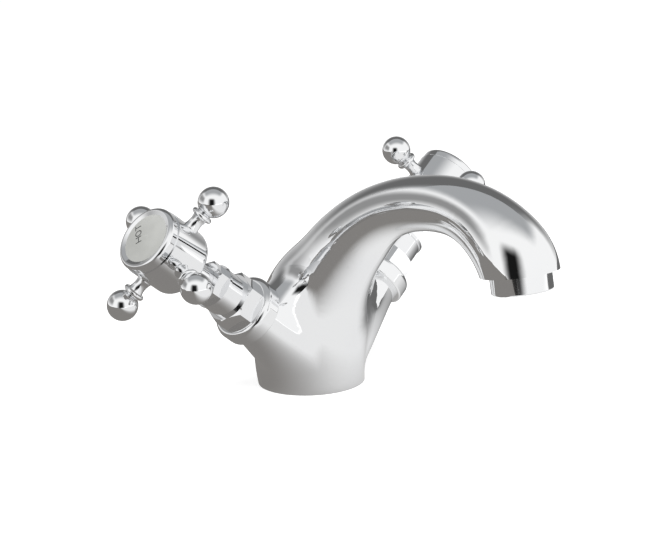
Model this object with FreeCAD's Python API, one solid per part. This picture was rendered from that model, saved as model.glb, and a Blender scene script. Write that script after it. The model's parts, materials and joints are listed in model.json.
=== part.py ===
"""Two-handle basin mixer: a one-piece cast body with a swan spout, two angled quarter-turn
ceramic valves, cross handles with ball-ended arms, and a screw-in aerator.

Units are millimetres. The origin is the centre of the base on the deck. +Z is up, the spout
reaches towards -Y, and the hot side is at -X.
"""
import FreeCAD
import Part

import math
import os

from FreeCAD import Placement, Rotation, Vector

# Body casting
BASE_RADIUS = 25.0
SPOUT_REACH = 128.4
SPOUT_CREST = 94.8
CREST_RADIUS = 12.1
NOSE_RADIUS = 16.4
OUTLET_HEIGHT = 70.3
OUTLET_TILT = 8.5
CROTCH_SHARE = 2.34

# Stations of the spout's centreline: share of the reach, share of the crest height,
# and the section's radius from base (0) through crest (1) to nose (2).
SPOUT_STATION_SHARES = (
    (0.000, -0.120, 0.060),
    (0.000, 0.000, 0.000),
    (0.000, 0.170, -0.110),
    (0.024, 0.340, -0.075),
    (0.070, 0.490, 0.160),
    (0.145, 0.614, 0.445),
    (0.206, 0.707, 0.575),
    (0.272, 0.790, 0.690),
    (0.353, 0.875, 0.850),
    (0.472, 0.951, 0.985),
    (0.603, 0.988, 1.000),
    (0.727, 0.990, 1.100),
    (0.827, 0.957, 1.360),
    (0.911, 0.893, 1.730),
    (0.967, 0.824, 1.990),
    (1.000, 0.742, 2.030),
    (1.024, 0.650, 2.000),
)

# Valve axes: both rise from one point in the body
VALVE_ANGLE = 38.2
VALVE_PLANE_Y = -4.0
VALVE_ORIGIN_Z = 10.4
ARM_CLEAR_LENGTH = 6.9
ARM_SEAT_RADIUS = 12.8
ARM_ROOT_INSET = 4.5
ARM_ROOT_START = 6.0
ARM_FLARE_SHARES = ((0.20, 0.76), (0.33, 0.64), (0.49, 0.48), (0.65, 0.32), (0.81, 0.15))

# Valve pocket and water inlets
POCKET_RADIUS = 9.4
POCKET_DEPTH = 27.0
INLET_THREAD_RADIUS = 5.0
INLET_THREAD_DEPTH = 12.0
INLET_OFFSET = 13.0
INLET_DRILL_RADIUS = 3.2
STUD_THREAD_RADIUS = 4.0
STUD_THREAD_DEPTH = 14.0

# Base seal
SEAL_MARGIN = 3.2
SEAL_WIDTH = 2.4
SEAL_THICKNESS = 1.8

# Valve collar and headwork
COLLAR_RADIUS = 15.5
COLLAR_LENGTH = 8.6
COLLAR_EDGE_RADIUS = 0.8
COLLAR_FRONT_RADIUS = 2.8
HEX_FLATS = 22.4
HEX_LENGTH = 8.9
BARREL_RADIUS = 9.8
BARREL_LENGTH = 9.8
GLAND_FLATS = 16.8
GLAND_LENGTH = 7.2
GLAND_FLANGE_RADIUS = 10.3
GLAND_FLANGE_LENGTH = 1.4
GLAND_THREAD_RADIUS = 7.0
GLAND_THREAD_LENGTH = 4.5
HEX_CHAMFER_ANGLE = 30.0
PACKING_LENGTH = 3.0
CARTRIDGE_BORE_RADIUS = 7.5
CARTRIDGE_BORE_LENGTH = 26.0
VALVE_PORT_RADIUS = 2.6

# Spindle, ceramic discs and seat
SPINDLE_RADIUS = 5.6
SPINDLE_CLEARANCE = 0.05
SPINDLE_FLANGE_LENGTH = 6.0
SPLINE_RADIUS = 4.4
SPLINE_LENGTH = 13.0
TONGUE_WIDTH = 3.0
TONGUE_DEPTH = 1.6
RING_SECTION_RADIUS = 0.48
RING_CLEARANCE = 0.02
DISC_THICKNESS = 3.5
DISC_CLEARANCE = 0.1
DISC_FACE_GAP = 0.05
DISC_PORT_RADIUS = 1.7
DISC_PORT_OFFSET = 4.2
SEAT_LENGTH = 2.5
SEAT_BORE_RADIUS = 4.4

# Cross handle
HANDLE_STANDOFF = 13.5
HUB_RADIUS = 15.2
HUB_LENGTH = 22.0
HUB_REAR_RADIUS = 4.0
HUB_GROOVE_DEPTH = 0.5
HUB_GROOVE_WIDTH = 0.7
CROSS_PLANE = 10.9
HOT_ARM_ANGLE = 65.5
COLD_ARM_ANGLE = 72.0
HOT_HEX_TURN = 30.0
COLD_HEX_TURN = 22.0
ARM_COUNT = 4
ARM_TENON_DEPTH = 4.5
SPOKE_RADIUS = 3.4
SPOKE_WAIST_RADIUS = 2.9
SPOKE_COLLAR_RADIUS = 4.9
SPOKE_COLLAR_LENGTH = 2.2
SPOKE_NECK_RADIUS = 3.1
SPOKE_NECK_LENGTH = 0.3
BALL_RADIUS = 6.8
BALL_REACH = 29.6

# Index, bezel and handle screw
BEZEL_LENGTH = 4.2
BEZEL_RADIUS = 14.8
BEZEL_EDGE_RADIUS = 2.0
INDEX_RADIUS = 11.3
INDEX_THICKNESS = 2.2
INDEX_RISE = 0.5
INDEX_RECESS = 0.7
SCREW_RADIUS = 2.0
SCREW_LENGTH = 9.0
SCREW_HEAD_RADIUS = 3.6
SCREW_HEAD_LENGTH = 2.6
SCREW_SLOT_WIDTH = 0.9
SCREW_WELL_RADIUS = 4.4

# Aerator
AERATOR_THREAD_RADIUS = 12.0
AERATOR_THREAD_LENGTH = 6.5
AERATOR_RING_RADIUS = 13.0
AERATOR_RING_LENGTH = 7.9
AERATOR_RING_EDGE = 0.6
AERATOR_BORE_RADIUS = 10.4
AERATOR_LIP_RADIUS = 9.4
AERATOR_LIP_LENGTH = 1.2
AERATOR_FLAT_DISTANCE = 12.3
AERATOR_FLAT_LENGTH = 3.0
WASHER_LENGTH = 2.0
WASHER_BORE_RADIUS = 8.6
INSERT_LENGTH = 8.0
INSERT_HOLE_RADIUS = 0.75
INSERT_HOLE_PITCH = 2.1
SCREEN_LENGTH = 1.0
SCREEN_HOLE_RADIUS = 0.7
SCREEN_HOLE_PITCH = 2.0

CUT_OVERRUN = 1.0
FULL_TURN = 360.0
HEX_SIDES = 6
SIDES = (("hot", -1.0, HOT_ARM_ANGLE, HOT_HEX_TURN), ("cold", 1.0, COLD_ARM_ANGLE, COLD_HEX_TURN))

# Sizes that follow from those above
ARM_ROOT_RADIUS = BASE_RADIUS - ARM_ROOT_INSET
VALVE_COSINE = math.cos(math.radians(VALVE_ANGLE))
VALVE_SINE = math.sin(math.radians(VALVE_ANGLE))
ARM_LENGTH = (BASE_RADIUS + ARM_SEAT_RADIUS * VALVE_SINE) / VALVE_COSINE + ARM_CLEAR_LENGTH
CROTCH_RADIUS = CROTCH_SHARE * (ARM_ROOT_RADIUS - ARM_SEAT_RADIUS)
SEAL_RADIUS = BASE_RADIUS - SEAL_MARGIN

# Stations along a valve axis, counted from the valve origin
SEAT_FLOOR = ARM_LENGTH - POCKET_DEPTH
WATERWAY_STATION = INLET_OFFSET / VALVE_COSINE
WATERWAY_HEIGHT = VALVE_ORIGIN_Z + WATERWAY_STATION * VALVE_SINE
VALVE_START = SEAT_FLOOR + SEAT_LENGTH
COLLAR_END = ARM_LENGTH + COLLAR_LENGTH
HEX_END = COLLAR_END + HEX_LENGTH
BARREL_END = HEX_END + BARREL_LENGTH
GLAND_END = BARREL_END + GLAND_LENGTH
HUB_START = GLAND_END + HANDLE_STANDOFF
HUB_END = HUB_START + HUB_LENGTH
CROSS_STATION = HUB_START + CROSS_PLANE
BEZEL_END = HUB_END + BEZEL_LENGTH
CARTRIDGE_END = VALVE_START + CARTRIDGE_BORE_LENGTH
TURNING_DISC_START = VALVE_START + DISC_THICKNESS + DISC_FACE_GAP
TURNING_DISC_END = TURNING_DISC_START + DISC_THICKNESS
VALVE_PORT_STATION = TURNING_DISC_END + SPINDLE_FLANGE_LENGTH
PACKING_START = BARREL_END - GLAND_THREAD_LENGTH - PACKING_LENGTH
SPINDLE_END = HUB_START + SPLINE_LENGTH
DISC_RADIUS = CARTRIDGE_BORE_RADIUS - DISC_CLEARANCE
SPINDLE_BORE_RADIUS = SPINDLE_RADIUS + SPINDLE_CLEARANCE


def cylinder(radius, length, start=0.0, centre=(0.0, 0.0)):
    """A cylinder along Z from the given height."""
    return Part.makeCylinder(radius, length, Vector(centre[0], centre[1], start))


def tube(outer, inner, length, start=0.0):
    """A plain ring along Z with a round bore."""
    bore = cylinder(inner, length + 2 * CUT_OVERRUN, start - CUT_OVERRUN)
    return cylinder(outer, length, start).cut(bore)


def revolved(points):
    """A solid of revolution about Z. Points are (radius, height), closed along the axis side.

    A point may carry a third value: the (radius, height) that an arc to it passes through.
    """
    edges = []
    ends = [Vector(point[0], 0.0, point[1]) for point in points]
    for index, point in enumerate(points):
        start, end = ends[index - 1], ends[index]
        if start.isEqual(end, 1e-9):
            continue
        if len(point) == 3:
            middle = Vector(point[2][0], 0.0, point[2][1])
            edges.append(Part.Arc(start, middle, end).toShape())
        else:
            edges.append(Part.LineSegment(start, end).toShape())
    face = Part.Face(Part.Wire(edges))
    return face.revolve(Vector(0, 0, 0), Vector(0, 0, 1), FULL_TURN)


def arc_corner(radius, height, corner_radius, radial_sign, axial_sign):
    """The mid-point of a quarter-round edge whose sharp corner is at (radius, height)."""
    inset = corner_radius * (1.0 - math.sqrt(0.5))
    return radius + radial_sign * inset, height + axial_sign * inset


def hexagon(flats, length, start, turn):
    """A hexagonal prism with its outer corners turned to a cone at the far end.

    The turn is the angle at which the thread came tight.
    """
    flat_radius = flats / 2.0
    corner_radius = flat_radius / math.cos(math.pi / HEX_SIDES)
    corners = []
    for index in range(HEX_SIDES + 1):
        angle = math.radians(turn + index * FULL_TURN / HEX_SIDES)
        corners.append(Vector(corner_radius * math.cos(angle), corner_radius * math.sin(angle), start))
    prism = Part.Face(Part.makePolygon(corners)).extrude(Vector(0, 0, length))
    chamfer = (corner_radius - flat_radius) * math.tan(math.radians(HEX_CHAMFER_ANGLE))
    turned = revolved((
        (0.0, start),
        (corner_radius, start),
        (corner_radius, start + length - chamfer),
        (flat_radius, start + length),
        (0.0, start + length),
    ))
    return prism.common(turned)


def valve_placement(side):
    """Carries a piece modelled along Z to the valve axis. Local X becomes the frame's +Y."""
    axis = Vector(side * VALVE_COSINE, 0.0, VALVE_SINE)
    across = Vector(0, 1, 0)
    return Placement(
        Vector(0.0, VALVE_PLANE_Y, VALVE_ORIGIN_Z),
        Rotation(across, axis.cross(across), axis, "ZXY"),
    )


def outlet_placement():
    """Carries a piece modelled along Z to the spout's outlet, with +Z along the jet."""
    tilt = math.radians(OUTLET_TILT)
    jet = Vector(0.0, -math.sin(tilt), -math.cos(tilt))
    across = Vector(1, 0, 0)
    centre = Vector(0.0, -SPOUT_REACH, OUTLET_HEIGHT)
    return Placement(centre, Rotation(across, jet.cross(across), jet, "ZXY"))


def placed(shape, placement):
    """A copy of the shape moved by the placement."""
    return shape.transformed(placement.toMatrix())


def spout_radius(blend):
    """The section's radius: base to crest for 0 to 1, crest to nose for 1 to 2."""
    if blend <= 1.0:
        return BASE_RADIUS + (CREST_RADIUS - BASE_RADIUS) * blend
    return CREST_RADIUS + (NOSE_RADIUS - CREST_RADIUS) * (blend - 1.0)


def spout_loft():
    """The column and spout: circles normal to a smooth centreline, lofted."""
    points = [Vector(0.0, -reach * SPOUT_REACH, rise * SPOUT_CREST)
              for reach, rise, _ in SPOUT_STATION_SHARES]
    path = Part.BSplineCurve()
    path.interpolate(Points=points)
    sections = []
    for point, (_, _, blend) in zip(points, SPOUT_STATION_SHARES):
        tangent = path.tangent(path.parameter(point))[0]
        ring = Part.Circle(Vector(0, 0, 0), Vector(0, 0, 1), spout_radius(blend)).toShape()
        across = Vector(1, 0, 0)
        turn = Rotation(across.cross(tangent), across, tangent, "ZXY")
        sections.append(Part.Wire([ring.transformed(Placement(point, turn).toMatrix())]))
    return Part.makeLoft(sections, True, False)


def valve_arm():
    """One arm of the casting, turned about its valve axis and flared into the column."""
    flare = ARM_ROOT_RADIUS - ARM_SEAT_RADIUS
    length = ARM_LENGTH - ARM_ROOT_START
    knots = [Vector(ARM_ROOT_RADIUS, 0.0, ARM_ROOT_START)]
    for along, out in ARM_FLARE_SHARES:
        knots.append(Vector(ARM_SEAT_RADIUS + flare * out, 0.0, ARM_ROOT_START + length * along))
    knots.append(Vector(ARM_SEAT_RADIUS, 0.0, ARM_LENGTH))
    side = Part.BSplineCurve()
    side.interpolate(Points=knots)
    edges = [
        side.toShape(),
        Part.LineSegment(knots[-1], Vector(0.0, 0.0, ARM_LENGTH)).toShape(),
        Part.LineSegment(Vector(0.0, 0.0, ARM_LENGTH), Vector(0.0, 0.0, ARM_ROOT_START)).toShape(),
        Part.LineSegment(Vector(0.0, 0.0, ARM_ROOT_START), knots[0]).toShape(),
    ]
    return Part.Face(Part.Wire(edges)).revolve(Vector(0, 0, 0), Vector(0, 0, 1), FULL_TURN)


def blended_casting():
    """Column, spout and arms in one, with the joins between them rounded."""
    body = spout_loft()
    for _, side, _, _ in SIDES:
        body = body.fuse(placed(valve_arm(), valve_placement(side)))
    joins = []
    for edge in body.Edges:
        kinds = {face.Surface.TypeId for face in body.ancestorsOfType(edge, Part.Face)}
        if kinds == {"Part::GeomBSplineSurface", "Part::GeomSurfaceOfRevolution"}:
            joins.append(edge)
    return body.makeFillet(CROTCH_RADIUS, joins)


def valve_bores(side):
    """One side's pocket, its threaded inlet, and the drilled way that joins them."""
    along = valve_placement(side)
    inlet_centre = (side * INLET_OFFSET, VALVE_PLANE_Y)
    pocket = cylinder(POCKET_RADIUS, POCKET_DEPTH + CUT_OVERRUN, SEAT_FLOOR)
    inlet = cylinder(INLET_THREAD_RADIUS, INLET_THREAD_DEPTH + CUT_OVERRUN, -CUT_OVERRUN, inlet_centre)
    rise = cylinder(INLET_DRILL_RADIUS, WATERWAY_HEIGHT - INLET_THREAD_DEPTH + CUT_OVERRUN,
                    INLET_THREAD_DEPTH - CUT_OVERRUN, inlet_centre)
    way = cylinder(INLET_DRILL_RADIUS, ARM_LENGTH - WATERWAY_STATION, WATERWAY_STATION)
    elbow = Part.makeSphere(INLET_DRILL_RADIUS, Vector(inlet_centre[0], inlet_centre[1], WATERWAY_HEIGHT))
    return inlet.fuse([rise, elbow, placed(way, along), placed(pocket, along)])


def mixer_body():
    """The casting, cut at the deck and the outlet, with its pockets, inlets and thread holes."""
    span = 2 * SPOUT_REACH
    deck = Part.makeBox(span, span, BASE_RADIUS, Vector(-SPOUT_REACH, -SPOUT_REACH, -BASE_RADIUS))
    beyond = cylinder(2 * NOSE_RADIUS, 2 * NOSE_RADIUS)
    body = blended_casting().cut(deck).cut(placed(beyond, outlet_placement()))
    for _, side, _, _ in SIDES:
        body = body.cut(valve_bores(side))
    stud_hole = cylinder(STUD_THREAD_RADIUS, STUD_THREAD_DEPTH + CUT_OVERRUN, -CUT_OVERRUN)
    groove = tube(SEAL_RADIUS, SEAL_RADIUS - SEAL_WIDTH, SEAL_THICKNESS + CUT_OVERRUN, -CUT_OVERRUN)
    socket_depth = AERATOR_THREAD_LENGTH + WASHER_LENGTH
    socket = cylinder(AERATOR_THREAD_RADIUS, socket_depth + CUT_OVERRUN, -socket_depth)
    return body.cut(stud_hole).cut(groove).cut(placed(socket, outlet_placement()))


def base_seal():
    """The rubber ring in the groove under the base."""
    return tube(SEAL_RADIUS, SEAL_RADIUS - SEAL_WIDTH, SEAL_THICKNESS)


def valve_collar():
    """The round-edged collar between the arm's seat and the headwork's hexagon."""
    edge = COLLAR_EDGE_RADIUS
    front = COLLAR_FRONT_RADIUS
    return revolved((
        (POCKET_RADIUS, ARM_LENGTH),
        (COLLAR_RADIUS - edge, ARM_LENGTH),
        (COLLAR_RADIUS, ARM_LENGTH + edge, arc_corner(COLLAR_RADIUS, ARM_LENGTH, edge, -1, 1)),
        (COLLAR_RADIUS, COLLAR_END - front),
        (COLLAR_RADIUS - front, COLLAR_END, arc_corner(COLLAR_RADIUS, COLLAR_END, front, -1, -1)),
        (POCKET_RADIUS, COLLAR_END),
    ))


def valve_body(hex_turn):
    """The headwork: threaded shank, hexagon and barrel, bored for the spindle and the discs."""
    shank = cylinder(POCKET_RADIUS, COLLAR_END - VALVE_START, VALVE_START)
    barrel = cylinder(BARREL_RADIUS, BARREL_LENGTH, HEX_END)
    solid = shank.fuse(hexagon(HEX_FLATS, HEX_LENGTH, COLLAR_END, hex_turn)).fuse(barrel).removeSplitter()
    cartridge = cylinder(CARTRIDGE_BORE_RADIUS, CARTRIDGE_BORE_LENGTH + CUT_OVERRUN,
                         VALVE_START - CUT_OVERRUN)
    through = cylinder(SPINDLE_BORE_RADIUS, BARREL_END - VALVE_START, VALVE_START)
    recess = cylinder(GLAND_THREAD_RADIUS, BARREL_END - PACKING_START + CUT_OVERRUN, PACKING_START)
    port = Part.makeCylinder(VALVE_PORT_RADIUS, 2 * (POCKET_RADIUS + CUT_OVERRUN),
                             Vector(-POCKET_RADIUS - CUT_OVERRUN, 0, VALVE_PORT_STATION), Vector(1, 0, 0))
    return solid.cut(cartridge).cut(through).cut(recess).cut(port)


def gland_packing():
    """The packing ring that the gland nut squeezes round the spindle."""
    return tube(GLAND_THREAD_RADIUS, SPINDLE_BORE_RADIUS, PACKING_LENGTH, PACKING_START)


def gland_nut(hex_turn):
    """The small flanged hexagon nut that screws into the barrel behind the handle."""
    thread = cylinder(GLAND_THREAD_RADIUS, GLAND_THREAD_LENGTH, BARREL_END - GLAND_THREAD_LENGTH)
    flange = cylinder(GLAND_FLANGE_RADIUS, GLAND_FLANGE_LENGTH, BARREL_END)
    flange_end = BARREL_END + GLAND_FLANGE_LENGTH
    nut = hexagon(GLAND_FLATS, GLAND_LENGTH - GLAND_FLANGE_LENGTH, flange_end, hex_turn)
    solid = thread.fuse([flange, nut]).removeSplitter()
    bore = cylinder(SPINDLE_BORE_RADIUS, GLAND_LENGTH + GLAND_THREAD_LENGTH + 2 * CUT_OVERRUN,
                    BARREL_END - GLAND_THREAD_LENGTH - CUT_OVERRUN)
    return solid.cut(bore)


def ring_groove_station():
    """The middle of the O-ring groove, half-way between the cartridge bore and the packing."""
    return (CARTRIDGE_END + PACKING_START) / 2.0


def spindle():
    """The turning spindle: disc tongue, flange, journal with an O-ring groove, and handle end."""
    groove_floor = SPINDLE_BORE_RADIUS - RING_CLEARANCE - 2 * RING_SECTION_RADIUS
    station = ring_groove_station()
    flange_end = VALVE_PORT_STATION
    solid = revolved((
        (0.0, TURNING_DISC_END),
        (DISC_RADIUS, TURNING_DISC_END),
        (DISC_RADIUS, flange_end),
        (SPINDLE_RADIUS, flange_end),
        (SPINDLE_RADIUS, station - RING_SECTION_RADIUS),
        (groove_floor, station - RING_SECTION_RADIUS),
        (groove_floor, station + RING_SECTION_RADIUS),
        (SPINDLE_RADIUS, station + RING_SECTION_RADIUS),
        (SPINDLE_RADIUS, HUB_START),
        (SPLINE_RADIUS, HUB_START),
        (SPLINE_RADIUS, SPINDLE_END),
        (0.0, SPINDLE_END),
    ))
    tongue = Part.makeBox(2 * DISC_RADIUS, TONGUE_WIDTH, TONGUE_DEPTH,
                          Vector(-DISC_RADIUS, -TONGUE_WIDTH / 2, TURNING_DISC_END - TONGUE_DEPTH))
    tongue = tongue.common(cylinder(DISC_RADIUS, TONGUE_DEPTH, TURNING_DISC_END - TONGUE_DEPTH))
    tapped = cylinder(SCREW_RADIUS, SCREW_LENGTH + CUT_OVERRUN, SPINDLE_END - SCREW_LENGTH)
    return solid.fuse(tongue).removeSplitter().cut(tapped)


def spindle_ring():
    """The O-ring in the spindle's groove."""
    ring_radius = SPINDLE_BORE_RADIUS - RING_CLEARANCE - RING_SECTION_RADIUS
    return Part.makeTorus(ring_radius, RING_SECTION_RADIUS, Vector(0, 0, ring_groove_station()))


def ported_disc(start):
    """A ceramic disc with two round water ports."""
    disc = cylinder(DISC_RADIUS, DISC_THICKNESS, start)
    for sign in (-1, 1):
        disc = disc.cut(cylinder(DISC_PORT_RADIUS, DISC_THICKNESS + 2 * CUT_OVERRUN,
                                 start - CUT_OVERRUN, (0.0, sign * DISC_PORT_OFFSET)))
    return disc


def turning_disc():
    """The upper ceramic disc, slotted for the spindle's tongue."""
    slot = Part.makeBox(2 * (DISC_RADIUS + CUT_OVERRUN), TONGUE_WIDTH, TONGUE_DEPTH + CUT_OVERRUN,
                        Vector(-DISC_RADIUS - CUT_OVERRUN, -TONGUE_WIDTH / 2,
                               TURNING_DISC_END - TONGUE_DEPTH))
    return ported_disc(TURNING_DISC_START).cut(slot)


def seat_washer():
    """The rubber seat between the lower disc and the floor of the pocket."""
    return tube(DISC_RADIUS, SEAT_BORE_RADIUS, SEAT_LENGTH, SEAT_FLOOR)


def handle_hub(arm_angle):
    """The handle's barrel, round at the back, bored for the spindle, the screw and the arms."""
    rear = HUB_REAR_RADIUS
    groove_start = HUB_END - HUB_GROOVE_WIDTH
    solid = revolved((
        (0.0, HUB_START),
        (HUB_RADIUS - rear, HUB_START),
        (HUB_RADIUS, HUB_START + rear, arc_corner(HUB_RADIUS, HUB_START, rear, -1, 1)),
        (HUB_RADIUS, groove_start),
        (HUB_RADIUS - HUB_GROOVE_DEPTH, groove_start),
        (HUB_RADIUS - HUB_GROOVE_DEPTH, HUB_END),
        (0.0, HUB_END),
    ))
    socket = cylinder(SPLINE_RADIUS, SPLINE_LENGTH + CUT_OVERRUN, HUB_START - CUT_OVERRUN)
    well = cylinder(SCREW_WELL_RADIUS, HUB_END - SPINDLE_END + CUT_OVERRUN, SPINDLE_END)
    hub = solid.cut(socket).cut(well)
    for direction in arm_directions(arm_angle):
        start = direction * (HUB_RADIUS - ARM_TENON_DEPTH) + Vector(0, 0, CROSS_STATION)
        hub = hub.cut(Part.makeCylinder(SPOKE_RADIUS, ARM_TENON_DEPTH + CUT_OVERRUN, start, direction))
    return hub


def arm_directions(arm_angle):
    """Directions of the cross arms, square to the valve axis."""
    angles = [math.radians(arm_angle + index * FULL_TURN / ARM_COUNT) for index in range(ARM_COUNT)]
    return [Vector(math.cos(angle), math.sin(angle), 0.0) for angle in angles]


def handle_arm():
    """One turned arm along Z: tenon, waisted spoke, collar, neck and ball."""
    neck_end = BALL_REACH - math.sqrt(BALL_RADIUS ** 2 - SPOKE_NECK_RADIUS ** 2)
    collar_end = neck_end - SPOKE_NECK_LENGTH
    collar_start = collar_end - SPOKE_COLLAR_LENGTH
    middle = (HUB_RADIUS + collar_start) / 2.0
    return revolved((
        (0.0, HUB_RADIUS - ARM_TENON_DEPTH),
        (SPOKE_RADIUS, HUB_RADIUS - ARM_TENON_DEPTH),
        (SPOKE_RADIUS, HUB_RADIUS),
        (SPOKE_RADIUS, collar_start, (SPOKE_WAIST_RADIUS, middle)),
        (SPOKE_RADIUS, collar_end, (SPOKE_COLLAR_RADIUS, (collar_start + collar_end) / 2.0)),
        (SPOKE_NECK_RADIUS, collar_end),
        (SPOKE_NECK_RADIUS, neck_end),
        (0.0, BALL_REACH + BALL_RADIUS, (BALL_RADIUS, BALL_REACH)),
    ))


def arm_placement(direction):
    """Carries an arm modelled along Z to its direction in the cross plane."""
    return Placement(Vector(0, 0, CROSS_STATION), Rotation(Vector(0, 0, 1), direction))


def handle_bezel():
    """The rounded ring that holds the index on the front of the hub."""
    edge = BEZEL_EDGE_RADIUS
    floor = BEZEL_END - INDEX_RECESS - INDEX_THICKNESS
    return revolved((
        (SCREW_WELL_RADIUS, HUB_END),
        (BEZEL_RADIUS, HUB_END),
        (BEZEL_RADIUS, BEZEL_END - edge),
        (BEZEL_RADIUS - edge, BEZEL_END, arc_corner(BEZEL_RADIUS, BEZEL_END, edge, -1, -1)),
        (INDEX_RADIUS, BEZEL_END - INDEX_RECESS),
        (INDEX_RADIUS, floor),
        (SCREW_WELL_RADIUS, floor),
    ))


def index_disc():
    """The glazed index, a shallow spherical dome in the bezel's seat."""
    top = BEZEL_END - INDEX_RECESS
    floor = top - INDEX_THICKNESS
    dome_radius = (INDEX_RADIUS ** 2 + INDEX_RISE ** 2) / (2 * INDEX_RISE)
    half_angle = math.asin(INDEX_RADIUS / dome_radius) / 2
    crown = top + INDEX_RISE
    middle = (dome_radius * math.sin(half_angle), crown - dome_radius * (1 - math.cos(half_angle)))
    return revolved((
        (0.0, floor),
        (INDEX_RADIUS, floor),
        (INDEX_RADIUS, top),
        (0.0, crown, middle),
    ))


def handle_screw():
    """The slotted screw that holds the hub on the spindle."""
    head = cylinder(SCREW_HEAD_RADIUS, SCREW_HEAD_LENGTH, SPINDLE_END)
    shank = cylinder(SCREW_RADIUS, SCREW_LENGTH, SPINDLE_END - SCREW_LENGTH)
    slot = Part.makeBox(2 * SCREW_HEAD_RADIUS, SCREW_SLOT_WIDTH, SCREW_HEAD_LENGTH,
                        Vector(-SCREW_HEAD_RADIUS, -SCREW_SLOT_WIDTH / 2,
                               SPINDLE_END + SCREW_HEAD_LENGTH / 2))
    return head.fuse(shank).removeSplitter().cut(slot)


def aerator_housing():
    """The screw-in ring at the outlet, with two spanner flats and a lip that holds the insert."""
    edge = AERATOR_RING_EDGE
    solid = revolved((
        (AERATOR_BORE_RADIUS, -AERATOR_THREAD_LENGTH),
        (AERATOR_THREAD_RADIUS, -AERATOR_THREAD_LENGTH),
        (AERATOR_THREAD_RADIUS, 0.0),
        (AERATOR_RING_RADIUS, 0.0),
        (AERATOR_RING_RADIUS, AERATOR_RING_LENGTH - edge),
        (AERATOR_RING_RADIUS - edge, AERATOR_RING_LENGTH),
        (AERATOR_LIP_RADIUS, AERATOR_RING_LENGTH),
        (AERATOR_LIP_RADIUS, AERATOR_RING_LENGTH - AERATOR_LIP_LENGTH),
        (AERATOR_BORE_RADIUS, AERATOR_RING_LENGTH - AERATOR_LIP_LENGTH),
    ))
    for sign in (-1, 1):
        start = AERATOR_FLAT_DISTANCE if sign > 0 else -AERATOR_FLAT_DISTANCE - AERATOR_RING_RADIUS
        flat = Part.makeBox(AERATOR_RING_RADIUS, 2 * AERATOR_RING_RADIUS,
                            AERATOR_FLAT_LENGTH + CUT_OVERRUN,
                            Vector(start, -AERATOR_RING_RADIUS,
                                   AERATOR_RING_LENGTH - AERATOR_FLAT_LENGTH))
        solid = solid.cut(flat)
    return solid


def perforated_disc(radius, length, start, hole_radius, pitch):
    """A disc with round holes on a triangular grid, clear of its rim."""
    disc = cylinder(radius, length, start)
    rows = int(radius / pitch) + 1
    holes = []
    for row in range(-rows, rows + 1):
        for column in range(-rows, rows + 1):
            x = pitch * (column + (row % 2) / 2.0)
            y = pitch * row * math.cos(math.pi / HEX_SIDES)
            if math.hypot(x, y) + pitch <= radius:
                holes.append(cylinder(hole_radius, length + 2 * CUT_OVERRUN, start - CUT_OVERRUN, (x, y)))
    return disc.cut(Part.makeCompound(holes))


def aerator_screen():
    """The perforated outlet screen behind the housing's lip."""
    start = AERATOR_RING_LENGTH - AERATOR_LIP_LENGTH - SCREEN_LENGTH
    return perforated_disc(AERATOR_BORE_RADIUS, SCREEN_LENGTH, start,
                           SCREEN_HOLE_RADIUS, SCREEN_HOLE_PITCH)


def aerator_insert():
    """The plastic flow insert that fills the housing above the screen."""
    start = AERATOR_RING_LENGTH - AERATOR_LIP_LENGTH - SCREEN_LENGTH - INSERT_LENGTH
    return perforated_disc(AERATOR_BORE_RADIUS, INSERT_LENGTH, start,
                           INSERT_HOLE_RADIUS, INSERT_HOLE_PITCH)


def aerator_washer():
    """The rubber washer between the housing and the floor of the socket."""
    return tube(AERATOR_THREAD_RADIUS, WASHER_BORE_RADIUS, WASHER_LENGTH,
                -AERATOR_THREAD_LENGTH - WASHER_LENGTH)


def all_parts():
    """Every sub-part by node name, in the object's frame."""
    outlet = outlet_placement()
    parts = {"mixer_body": mixer_body(), "base_seal": base_seal()}
    for name, maker in (("aerator_housing", aerator_housing), ("aerator_screen", aerator_screen),
                        ("aerator_insert", aerator_insert), ("aerator_washer", aerator_washer)):
        parts[name] = placed(maker(), outlet)
    for label, side, arm_angle, hex_turn in SIDES:
        seat = valve_placement(side)
        pieces = {
            "valve_collar": valve_collar(),
            "valve_body": valve_body(hex_turn),
            "gland_packing": gland_packing(),
            "gland_nut": gland_nut(hex_turn),
            "spindle": spindle(),
            "spindle_ring": spindle_ring(),
            "fixed_disc": ported_disc(VALVE_START),
            "turning_disc": turning_disc(),
            "seat_washer": seat_washer(),
            "handle_hub": handle_hub(arm_angle),
            "handle_bezel": handle_bezel(),
            "index_disc": index_disc(),
            "handle_screw": handle_screw(),
        }
        for number, direction in enumerate(arm_directions(arm_angle), start=1):
            pieces["handle_arm_%d" % number] = placed(handle_arm(), arm_placement(direction))
        for piece, shape in pieces.items():
            parts["%s_%s" % (label, piece)] = placed(shape, seat)
    return parts


def main():
    os.makedirs("parts", exist_ok=True)
    for name, shape in all_parts().items():
        solids = shape.Solids
        print(name, "solids", len(solids), "valid", shape.isValid(), "volume", round(shape.Volume, 1))
        shape.exportStep(os.path.join("parts", name + ".step"))


main()
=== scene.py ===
import json
import math

import bpy
import numpy as np
from mathutils import Matrix, Vector


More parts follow.
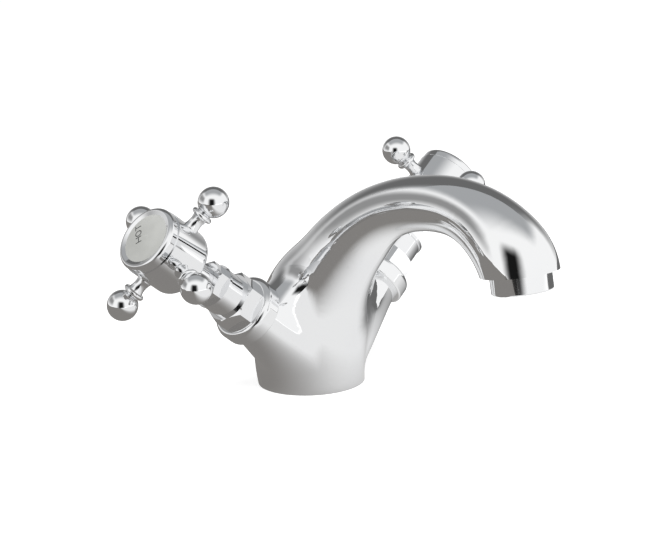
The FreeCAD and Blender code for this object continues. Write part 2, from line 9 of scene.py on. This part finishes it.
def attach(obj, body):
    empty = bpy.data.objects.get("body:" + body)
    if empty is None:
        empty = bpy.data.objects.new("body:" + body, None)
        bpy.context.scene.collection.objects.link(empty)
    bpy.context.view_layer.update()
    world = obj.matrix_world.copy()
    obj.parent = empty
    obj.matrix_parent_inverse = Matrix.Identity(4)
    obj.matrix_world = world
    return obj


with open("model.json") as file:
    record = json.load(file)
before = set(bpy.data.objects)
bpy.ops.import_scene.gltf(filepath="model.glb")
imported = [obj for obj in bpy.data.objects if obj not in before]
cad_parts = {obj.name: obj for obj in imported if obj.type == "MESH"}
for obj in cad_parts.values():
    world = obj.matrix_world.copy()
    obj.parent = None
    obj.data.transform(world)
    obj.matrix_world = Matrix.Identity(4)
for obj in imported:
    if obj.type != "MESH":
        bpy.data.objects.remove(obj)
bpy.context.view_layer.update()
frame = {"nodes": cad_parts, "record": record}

# Camera of the photograph, in the object's frame
EYE = (-0.551907, -0.592871, 0.243847)
CAMERA_RIGHT = (0.72460, -0.68795, -0.04103)
CAMERA_UP = (0.18933, 0.14146, 0.97167)
CAMERA_BACK = (-0.66266, -0.71184, 0.23275)
SENSOR_MM = 36.0
LENS_MM = 96.39
SHIFT_X = 0.0413
SHIFT_Y = 0.0083
CLIP_NEAR = 0.01

# Valve axes, as in the solids
VALVE_ANGLE = math.radians(38.2)
VALVE_ROOT = np.array((0.0, -0.004, 0.0104))
INDEX_TOP = 0.12227
INDEX_DOME_RADIUS = 0.12795
INDEX_RISE = 0.0005

# Studio, in the object's frame: the side of the camera and its right hand, on the floor
CAMERA_SIDE = (-0.6814, -0.7319, 0.0)
RIGHT_SIDE = (0.7252, -0.6885, 0.0)
UP = (0.0, 0.0, 1.0)

# White background, and the plain grey that lights matt surfaces
WHITE = (1.0, 1.0, 1.0)
ROOM_LIGHT = (0.5, 0.5, 0.5)

# White floor: its own paleness and a lift to the background's white
FLOOR_HALF = 3.0
FLOOR_Z = -0.0002
FLOOR_COLOR = (0.75, 0.75, 0.75)
FLOOR_LIFT = (0.62, 0.62, 0.62)

# Flags, the grey and black cards that give chrome its form in a white room: where the middle is,
# as a turn in degrees from the camera's side, right positive, a distance and a height in metres.
# Half sizes and the soft edge are in metres too, and a level card lies flat
FLAGS = {
    "front_flag": {"turn": -12.0, "distance": 0.60, "height": 0.20, "half_width": 0.36,
                   "half_height": 0.42, "soft": 0.28, "color": (0.01, 0.01, 0.01), "level": False},
    "back_flag": {"turn": 180.0, "distance": 0.80, "height": 1.20, "half_width": 1.60,
                  "half_height": 1.60, "soft": 1.00, "color": (0.15, 0.15, 0.15), "level": False},
    "left_flag": {"turn": -95.0, "distance": 0.70, "height": 0.35, "half_width": 0.50,
                  "half_height": 0.35, "soft": 0.30, "color": (0.30, 0.30, 0.30), "level": False},
    "ceiling_flag": {"turn": 180.0, "distance": 0.60, "height": 1.50, "half_width": 2.00,
                     "half_height": 1.60, "soft": 1.00, "color": (0.40, 0.41, 0.42), "level": True},
    "near_table": {"turn": 0.0, "distance": 0.0, "height": -0.00015, "half_width": 0.90,
                   "half_height": 0.90, "soft": 0.40, "color": (0.88, 0.88, 0.88), "level": True},
    "back_table": {"turn": 180.0, "distance": 0.85, "height": -0.0001, "half_width": 1.20,
                   "half_height": 0.85, "soft": 0.12, "color": (0.15, 0.15, 0.15), "level": True},
    "left_table": {"turn": -105.0, "distance": 0.60, "height": -0.00005, "half_width": 1.00,
                   "half_height": 0.66, "soft": 0.08, "color": (0.24, 0.23, 0.22), "level": True},
}

# Key lamp
LAMP_WATTS = 16.0
LAMP_SIZE = 0.8
LAMP_PLACE = (-0.5, -0.7, 1.1)
LAMP_AIM = (0.0, -0.03, 0.05)

# Finishes: two tones, patch and grain sizes and relief in metres, roughness from low to high
FINISHES = {
    "chrome": {"colors": ((0.90, 0.905, 0.91), (0.885, 0.89, 0.90)), "metallic": 1.0,
               "patch": 0.030, "grain": 0.0012, "roughness": (0.030, 0.065),
               "wave_height": 4.0e-5, "grain_height": 2.0e-7},
    "porcelain": {"colors": ((0.480, 0.485, 0.465), (0.445, 0.450, 0.430)), "metallic": 0.0, "glaze": 0.4,
                  "patch": 0.008, "grain": 0.0006, "roughness": (0.12, 0.24),
                  "wave_height": 2.0e-5, "grain_height": 1.0e-6},
    "ceramic_disc": {"colors": ((0.86, 0.85, 0.81), (0.80, 0.79, 0.75)), "metallic": 0.0,
                     "patch": 0.004, "grain": 0.0003, "roughness": (0.18, 0.32),
                     "wave_height": 0.0, "grain_height": 1.0e-6},
    "rubber": {"colors": ((0.020, 0.020, 0.021), (0.034, 0.034, 0.035)), "metallic": 0.0,
               "patch": 0.006, "grain": 0.0004, "roughness": (0.60, 0.82),
               "wave_height": 2.0e-5, "grain_height": 8.0e-6},
    "plastic": {"colors": ((0.56, 0.57, 0.59), (0.50, 0.51, 0.53)), "metallic": 0.0,
                "patch": 0.006, "grain": 0.0004, "roughness": (0.38, 0.55),
                "wave_height": 1.0e-5, "grain_height": 4.0e-6},
    "steel": {"colors": ((0.56, 0.56, 0.57), (0.48, 0.48, 0.49)), "metallic": 1.0,
              "patch": 0.003, "grain": 0.0003, "roughness": (0.22, 0.38),
              "wave_height": 0.0, "grain_height": 3.0e-6},
}
LETTER_PAINT = {"colors": ((0.055, 0.055, 0.055), (0.085, 0.085, 0.085)), "metallic": 0.0,
                "patch": 0.002, "grain": 0.0002, "roughness": (0.35, 0.50),
                "wave_height": 0.0, "grain_height": 2.0e-6}
BROAD_DETAIL = 1.0
FINE_DETAIL = 3.0
TONE_SPAN = (0.35, 0.65)
SHEEN_SPAN = (0.12, 0.42)

# Lettering on the indices
LETTER_HEIGHT = 0.0031
LETTER_WIDTH_SHARE = 0.84
LETTER_GAP_SHARE = 0.27
STROKE_WIDTH = 0.00046
STROKE_RAISE = 0.00006
STROKE_SINK = 0.00004
RING_POINTS = 41
BOW_POINTS = 25
HOT_WORD_ANGLE = math.radians(-53.0)
COLD_WORD_ANGLE = math.radians(-17.0)
WORD_OFFSET = 0.0035
HOT_WORD_SHIFT = 0.0042
COLD_WORD_SHIFT = 0.0


def surface_group():
    """The uneven finish that every material shares.

    Two noises on Object coordinates: a broad one for the hand-finished waviness and for patches
    of tone, and a fine one for the grain. Tone mixes the two colours, Sheen moves the roughness
    and Height is the relief in metres.
    """
    group = bpy.data.node_groups.new("uneven_finish", "ShaderNodeTree")
    sockets = (
        ("Color A", "NodeSocketColor"), ("Color B", "NodeSocketColor"),
        ("Broad Scale", "NodeSocketFloat"), ("Fine Scale", "NodeSocketFloat"),
        ("Roughness Low", "NodeSocketFloat"), ("Roughness High", "NodeSocketFloat"),
        ("Wave Height", "NodeSocketFloat"), ("Grain Height", "NodeSocketFloat"),
    )
    for label, kind in sockets:
        group.interface.new_socket(label, in_out="INPUT", socket_type=kind)
    for label, kind in (("Color", "NodeSocketColor"), ("Roughness", "NodeSocketFloat"),
                        ("Height", "NodeSocketFloat")):
        group.interface.new_socket(label, in_out="OUTPUT", socket_type=kind)
    given = group.nodes.new("NodeGroupInput").outputs
    result = group.nodes.new("NodeGroupOutput").inputs
    place = group.nodes.new("ShaderNodeTexCoord").outputs["Object"]
    broad = noise_node(group, place, given["Broad Scale"], BROAD_DETAIL)
    fine = noise_node(group, place, given["Fine Scale"], FINE_DETAIL)
    tone = mix_node(group, smooth_node(group, broad, *TONE_SPAN), given["Color A"], given["Color B"])
    group.links.new(tone, result["Color"])
    both = math_node(group, "MULTIPLY", broad, fine)
    sheen = group.nodes.new("ShaderNodeMapRange")
    group.links.new(both, sheen.inputs["Value"])
    sheen.inputs["From Min"].default_value = SHEEN_SPAN[0]
    sheen.inputs["From Max"].default_value = SHEEN_SPAN[1]
    group.links.new(given["Roughness Low"], sheen.inputs["To Min"])
    group.links.new(given["Roughness High"], sheen.inputs["To Max"])
    group.links.new(sheen.outputs["Result"], result["Roughness"])
    waves = math_node(group, "MULTIPLY", broad, given["Wave Height"])
    grain = math_node(group, "MULTIPLY", fine, given["Grain Height"])
    group.links.new(math_node(group, "ADD", waves, grain), result["Height"])
    return group


def material(name, group, finish):
    """A Principled material with the shared uneven finish."""
    made = bpy.data.materials.new(name)
    made.use_nodes = True
    tree = made.node_tree
    shader = tree.nodes["Principled BSDF"]
    shader.inputs["Metallic"].default_value = finish["metallic"]
    shader.inputs["Coat Weight"].default_value = finish.get("glaze", 0.0)
    uneven = tree.nodes.new("ShaderNodeGroup")
    uneven.node_tree = group
    uneven.inputs["Color A"].default_value = (*finish["colors"][0], 1.0)
    uneven.inputs["Color B"].default_value = (*finish["colors"][1], 1.0)
    uneven.inputs["Broad Scale"].default_value = 1.0 / finish["patch"]
    uneven.inputs["Fine Scale"].default_value = 1.0 / finish["grain"]
    uneven.inputs["Roughness Low"].default_value = finish["roughness"][0]
    uneven.inputs["Roughness High"].default_value = finish["roughness"][1]
    uneven.inputs["Wave Height"].default_value = finish["wave_height"]
    uneven.inputs["Grain Height"].default_value = finish["grain_height"]
    bump = tree.nodes.new("ShaderNodeBump")
    bump.inputs["Distance"].default_value = 1.0
    tree.links.new(uneven.outputs["Color"], shader.inputs["Base Color"])
    tree.links.new(uneven.outputs["Roughness"], shader.inputs["Roughness"])
    tree.links.new(uneven.outputs["Height"], bump.inputs["Height"])
    tree.links.new(bump.outputs["Normal"], shader.inputs["Normal"])
    return made


def dress(nodes, made):
    """Gives CAD nodes one material."""
    for name in nodes:
        mesh = frame["nodes"][name].data
        mesh.materials.clear()
        mesh.materials.append(made)


def by_slot(slot):
    """The CAD nodes of one material slot of the record."""
    return [part["node"] for part in frame["record"]["subparts"] if part["material_slot"] == slot]


def valve_axes(side):
    """Unit vectors of a valve: across (+Y), along the dial and out of the body."""
    out = np.array((side * math.cos(VALVE_ANGLE), 0.0, math.sin(VALVE_ANGLE)))
    across = np.array((0.0, 1.0, 0.0))
    return across, np.cross(out, across), out


def grid_mesh(name, grid):
    """A closed-round tube from a grid of points: rows along the path, columns round it, ends capped."""
    rows, columns = grid.shape[:2]
    index = np.arange(rows * columns).reshape(rows, columns)
    here = index[:-1]
    there = index[1:]
    quads = np.stack((here, np.roll(here, -1, 1), np.roll(there, -1, 1), there), -1).reshape(-1, 4)
    faces = quads.tolist() + [index[0, ::-1].tolist(), index[-1].tolist()]
    mesh = bpy.data.meshes.new(name)
    mesh.from_pydata(grid.reshape(-1, 3).tolist(), [], faces)
    made = bpy.data.objects.new(name, mesh)
    bpy.context.scene.collection.objects.link(made)
    return made


def arc(centre, radii, start, end, count):
    """Points (cx + rx cos t, cy + ry sin t) for t from start to end, in degrees."""
    t = np.radians(np.linspace(start, end, count))
    return np.stack((centre[0] + radii[0] * np.cos(t), centre[1] + radii[1] * np.sin(t)), 1)


def letter_strokes(letter):
    """Centre lines of a plain capital in a unit box, as a list of point arrays."""
    bars = {
        "H": [((0, 0), (0, 1)), ((1, 0), (1, 1)), ((0, 0.5), (1, 0.5))],
        "T": [((0, 1), (1, 1)), ((0.5, 0), (0.5, 1))],
        "L": [((0, 0), (0, 1)), ((0, 0), (1, 0))],
        "D": [((0, 0), (0, 1))],
    }
    strokes = [np.array(bar, float) for bar in bars.get(letter, [])]
    if letter == "O":
        strokes.append(arc((0.5, 0.5), (0.5, 0.5), 0, 360, RING_POINTS))
    if letter == "C":
        strokes.append(arc((0.55, 0.5), (0.55, 0.5), 45, 315, BOW_POINTS))
    if letter == "D":
        strokes.append(np.vstack(((0, 1), arc((0.4, 0.5), (0.6, 0.5), 90, -90, BOW_POINTS), (0, 0))))
    return strokes


def dome_height(points):
    """Height of the domed index over its rim's plane: h = rise - (R - sqrt(R^2 - r^2))."""
    r2 = (points ** 2).sum(1)
    return INDEX_RISE - (INDEX_DOME_RADIUS - np.sqrt(INDEX_DOME_RADIUS ** 2 - r2))


def stroke_ribbon(flat, axes):
    """A letter's stroke as a thin flat ribbon on the dome: its centre line offset by half the width.

    flat holds the centre line in the dial's plane, axes the dial's along, upward and out directions.
    """
    along, upward, out = axes
    step = np.gradient(flat, axis=0)
    step /= np.linalg.norm(step, axis=1, keepdims=True)
    half = np.stack((-step[:, 1], step[:, 0]), 1) * STROKE_WIDTH / 2
    corners = []
    for edge, lift in ((flat + half, -STROKE_SINK), (flat - half, -STROKE_SINK),
                       (flat - half, STROKE_RAISE), (flat + half, STROKE_RAISE)):
        height = INDEX_TOP + dome_height(edge) + lift
        corners.append(VALVE_ROOT + edge[:, :1] * along + edge[:, 1:] * upward + height[:, None] * out)
    return np.stack(corners, 1)


def lettering(name, word, side, angle, shift, body, paint):
    """A word in plain painted capitals on an index, read along a line through the dial."""
    across, down, out = valve_axes(side)
    along = math.cos(angle) * across + math.sin(angle) * down
    axes = (along, np.cross(out, along), out)
    width = LETTER_HEIGHT * LETTER_WIDTH_SHARE
    gap = LETTER_HEIGHT * LETTER_GAP_SHARE
    start = shift - ((width + gap) * len(word) - gap) / 2
    base = WORD_OFFSET - LETTER_HEIGHT / 2
    for place, letter in enumerate(word):
        corner = (start + place * (width + gap), base)
        for number, stroke in enumerate(letter_strokes(letter)):
            flat = stroke * (width, LETTER_HEIGHT) + corner
            piece = grid_mesh("%s_%d_%d" % (name, place, number), stroke_ribbon(flat, axes))
            piece.data.materials.append(paint)
            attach(piece, body)


def dot_node(tree, source, direction):
    """The component of a vector output along a fixed direction."""
    node = tree.nodes.new("ShaderNodeVectorMath")
    node.operation = "DOT_PRODUCT"
    node.inputs[1].default_value = direction
    tree.links.new(source, node.inputs[0])
    return node.outputs["Value"]


def noise_node(tree, place, scale, detail):
    """Soft noise from 0 to 1 on a place, with a linked scale in patches per metre."""
    node = tree.nodes.new("ShaderNodeTexNoise")
    node.inputs["Detail"].default_value = detail
    tree.links.new(place, node.inputs["Vector"])
    tree.links.new(scale, node.inputs["Scale"])
    return node.outputs["Fac"]


def math_node(tree, operation, first, second):
    """A product, a maximum or another operation on two outputs."""
    node = tree.nodes.new("ShaderNodeMath")
    node.operation = operation
    tree.links.new(first, node.inputs[0])
    tree.links.new(second, node.inputs[1])
    return node.outputs["Value"]


def smooth_node(tree, source, start, end):
    """A smooth step from 0 at start to 1 at end."""
    node = tree.nodes.new("ShaderNodeMapRange")
    node.interpolation_type = "SMOOTHSTEP"
    node.inputs["From Min"].default_value = start
    node.inputs["From Max"].default_value = end
    tree.links.new(source, node.inputs["Value"])
    return node.outputs["Result"]


def mix_node(tree, share, first, second):
    """A mix of two colours by a share from 0 to 1. A colour is a fixed triple or an output."""
    node = tree.nodes.new("ShaderNodeMix")
    node.data_type = "RGBA"
    tree.links.new(share, node.inputs["Factor"])
    for socket, value in ((node.inputs[6], first), (node.inputs[7], second)):
        if isinstance(value, tuple):
            socket.default_value = (*value, 1.0)
        else:
            tree.links.new(value, socket)
    return node.outputs[2]


def background_share(tree):
    """1 for a ray of the camera, a reflection or a refraction, which sees the white background."""
    path = tree.nodes.new("ShaderNodeLightPath").outputs
    mirrored = math_node(tree, "MAXIMUM", path["Is Glossy Ray"], path["Is Transmission Ray"])
    return math_node(tree, "MAXIMUM", path["Is Camera Ray"], mirrored)


def build_world():
    """A plain room: white as a background, also in the metal, and grey as the light on matt surfaces."""
    world = bpy.data.worlds.new("studio")
    world.use_nodes = True
    bpy.context.scene.world = world
    tree = world.node_tree
    tree.nodes.clear()
    room = tree.nodes.new("ShaderNodeBackground")
    tree.links.new(mix_node(tree, background_share(tree), ROOM_LIGHT, WHITE), room.inputs["Color"])
    output = tree.nodes.new("ShaderNodeOutputWorld")
    tree.links.new(room.outputs[0], output.inputs["Surface"])


def empty_material(name):
    """A material of the studio with no nodes yet."""
    made = bpy.data.materials.new(name)
    made.use_nodes = True
    made.node_tree.nodes.clear()
    return made


def floor_material():
    """A pale floor, lifted to the white of the background, that keeps the object's soft shadow."""
    made = empty_material("floor")
    tree = made.node_tree
    lift = tree.nodes.new("ShaderNodeEmission")
    lift.inputs["Color"].default_value = (*FLOOR_LIFT, 1.0)
    pale = tree.nodes.new("ShaderNodeBsdfDiffuse")
    pale.inputs["Color"].default_value = (*FLOOR_COLOR, 1.0)
    both = tree.nodes.new("ShaderNodeAddShader")
    tree.links.new(lift.outputs[0], both.inputs[0])
    tree.links.new(pale.outputs[0], both.inputs[1])
    output = tree.nodes.new("ShaderNodeOutputMaterial")
    tree.links.new(both.outputs[0], output.inputs["Surface"])
    return made


def flag_axes(flag):
    """The middle of a flag, and unit vectors along its width and its height."""
    turn = math.radians(flag["turn"])
    front = np.array(CAMERA_SIDE)
    right = np.array(RIGHT_SIDE)
    towards = math.cos(turn) * front + math.sin(turn) * right
    along = math.cos(turn) * right - math.sin(turn) * front
    rise = towards if flag["level"] else np.array(UP)
    return flag["distance"] * towards + flag["height"] * np.array(UP), along, rise


def flag_material(name, flag):
    """A plain card with soft edges: the product of a smooth step in from each of its four edges."""
    made = empty_material(name)
    tree = made.node_tree
    place = tree.nodes.new("ShaderNodeTexCoord").outputs["Object"]
    middle, along, rise = flag_axes(flag)
    steps = []
    for axis, half in ((along, flag["half_width"]), (rise, flag["half_height"])):
        way = dot_node(tree, place, axis)
        start = middle @ axis - half
        end = middle @ axis + half
        steps.append(smooth_node(tree, way, start, start + flag["soft"]))
        steps.append(smooth_node(tree, way, end, end - flag["soft"]))
    share = steps[0]
    for step in steps[1:]:
        share = math_node(tree, "MULTIPLY", share, step)
    card = tree.nodes.new("ShaderNodeEmission")
    card.inputs["Color"].default_value = (*flag["color"], 1.0)
    clear = tree.nodes.new("ShaderNodeBsdfTransparent")
    mixed = tree.nodes.new("ShaderNodeMixShader")
    tree.links.new(share, mixed.inputs["Fac"])
    tree.links.new(clear.outputs[0], mixed.inputs[1])
    tree.links.new(card.outputs[0], mixed.inputs[2])
    output = tree.nodes.new("ShaderNodeOutputMaterial")
    tree.links.new(mixed.outputs[0], output.inputs["Surface"])
    return made


def stage_card(name, corners, made):
    """A flat card of the studio with four corners, which throws no shadow."""
    mesh = bpy.data.meshes.new(name)
    mesh.from_pydata(corners, [], [(0, 1, 2, 3)])
    mesh.materials.append(made)
    card = bpy.data.objects.new(name, mesh)
    bpy.context.scene.collection.objects.link(card)
    card.visible_diffuse = False
    card.visible_shadow = False
    return card


def level_corners(half, height):
    """Corners of a level square about the object."""
    return ((-half, -half, height), (half, -half, height), (half, half, height), (-half, half, height))


def flag_corners(flag):
    """Corners of a flag: its middle, plus or minus its half width and its half height."""
    middle, along, rise = flag_axes(flag)
    reach = flag["half_width"] * along
    climb = flag["half_height"] * rise
    ring = (middle - reach - climb, middle + reach - climb, middle + reach + climb, middle - reach + climb)
    return [tuple(corner) for corner in ring]


def build_stage():
    """The white floor, and the flags, which the camera doesn't see."""
    stage_card("floor", level_corners(FLOOR_HALF, FLOOR_Z), floor_material())
    for name, flag in FLAGS.items():
        stage_card(name, flag_corners(flag), flag_material(name, flag)).visible_camera = False


def build_camera():
    """The photograph's view."""
    data = bpy.data.cameras.new("view")
    data.sensor_width = SENSOR_MM
    data.lens = LENS_MM
    data.shift_x = SHIFT_X
    data.shift_y = SHIFT_Y
    data.clip_start = CLIP_NEAR
    camera = bpy.data.objects.new("view", data)
    bpy.context.scene.collection.objects.link(camera)
    columns = (CAMERA_RIGHT, CAMERA_UP, CAMERA_BACK, EYE)
    rows = [[column[i] for column in columns] for i in range(3)] + [[0.0, 0.0, 0.0, 1.0]]
    camera.matrix_world = Matrix(rows)
    bpy.context.scene.camera = camera


def build_lights():
    """One large soft lamp over the front of the object."""
    data = bpy.data.lights.new("key", "AREA")
    data.energy = LAMP_WATTS
    data.size = LAMP_SIZE
    lamp = bpy.data.objects.new("key", data)
    bpy.context.scene.collection.objects.link(lamp)
    lamp.location = LAMP_PLACE
    direction = Vector(LAMP_AIM) - Vector(LAMP_PLACE)
    lamp.rotation_euler = direction.to_track_quat("-Z", "Y").to_euler()
    lamp.visible_glossy = False


surface = surface_group()
paint = material("letter_paint", surface, LETTER_PAINT)
for slot_name, finish in FINISHES.items():
    dress(by_slot(slot_name), material(slot_name, surface, finish))
lettering("hot_letter", "HOT", -1.0, HOT_WORD_ANGLE, HOT_WORD_SHIFT, "hot_handle", paint)
lettering("cold_letter", "COLD", 1.0, COLD_WORD_ANGLE, COLD_WORD_SHIFT, "cold_handle", paint)
bpy.context.scene.view_settings.view_transform = "Standard"
build_world()
build_stage()
build_camera()
build_lights()
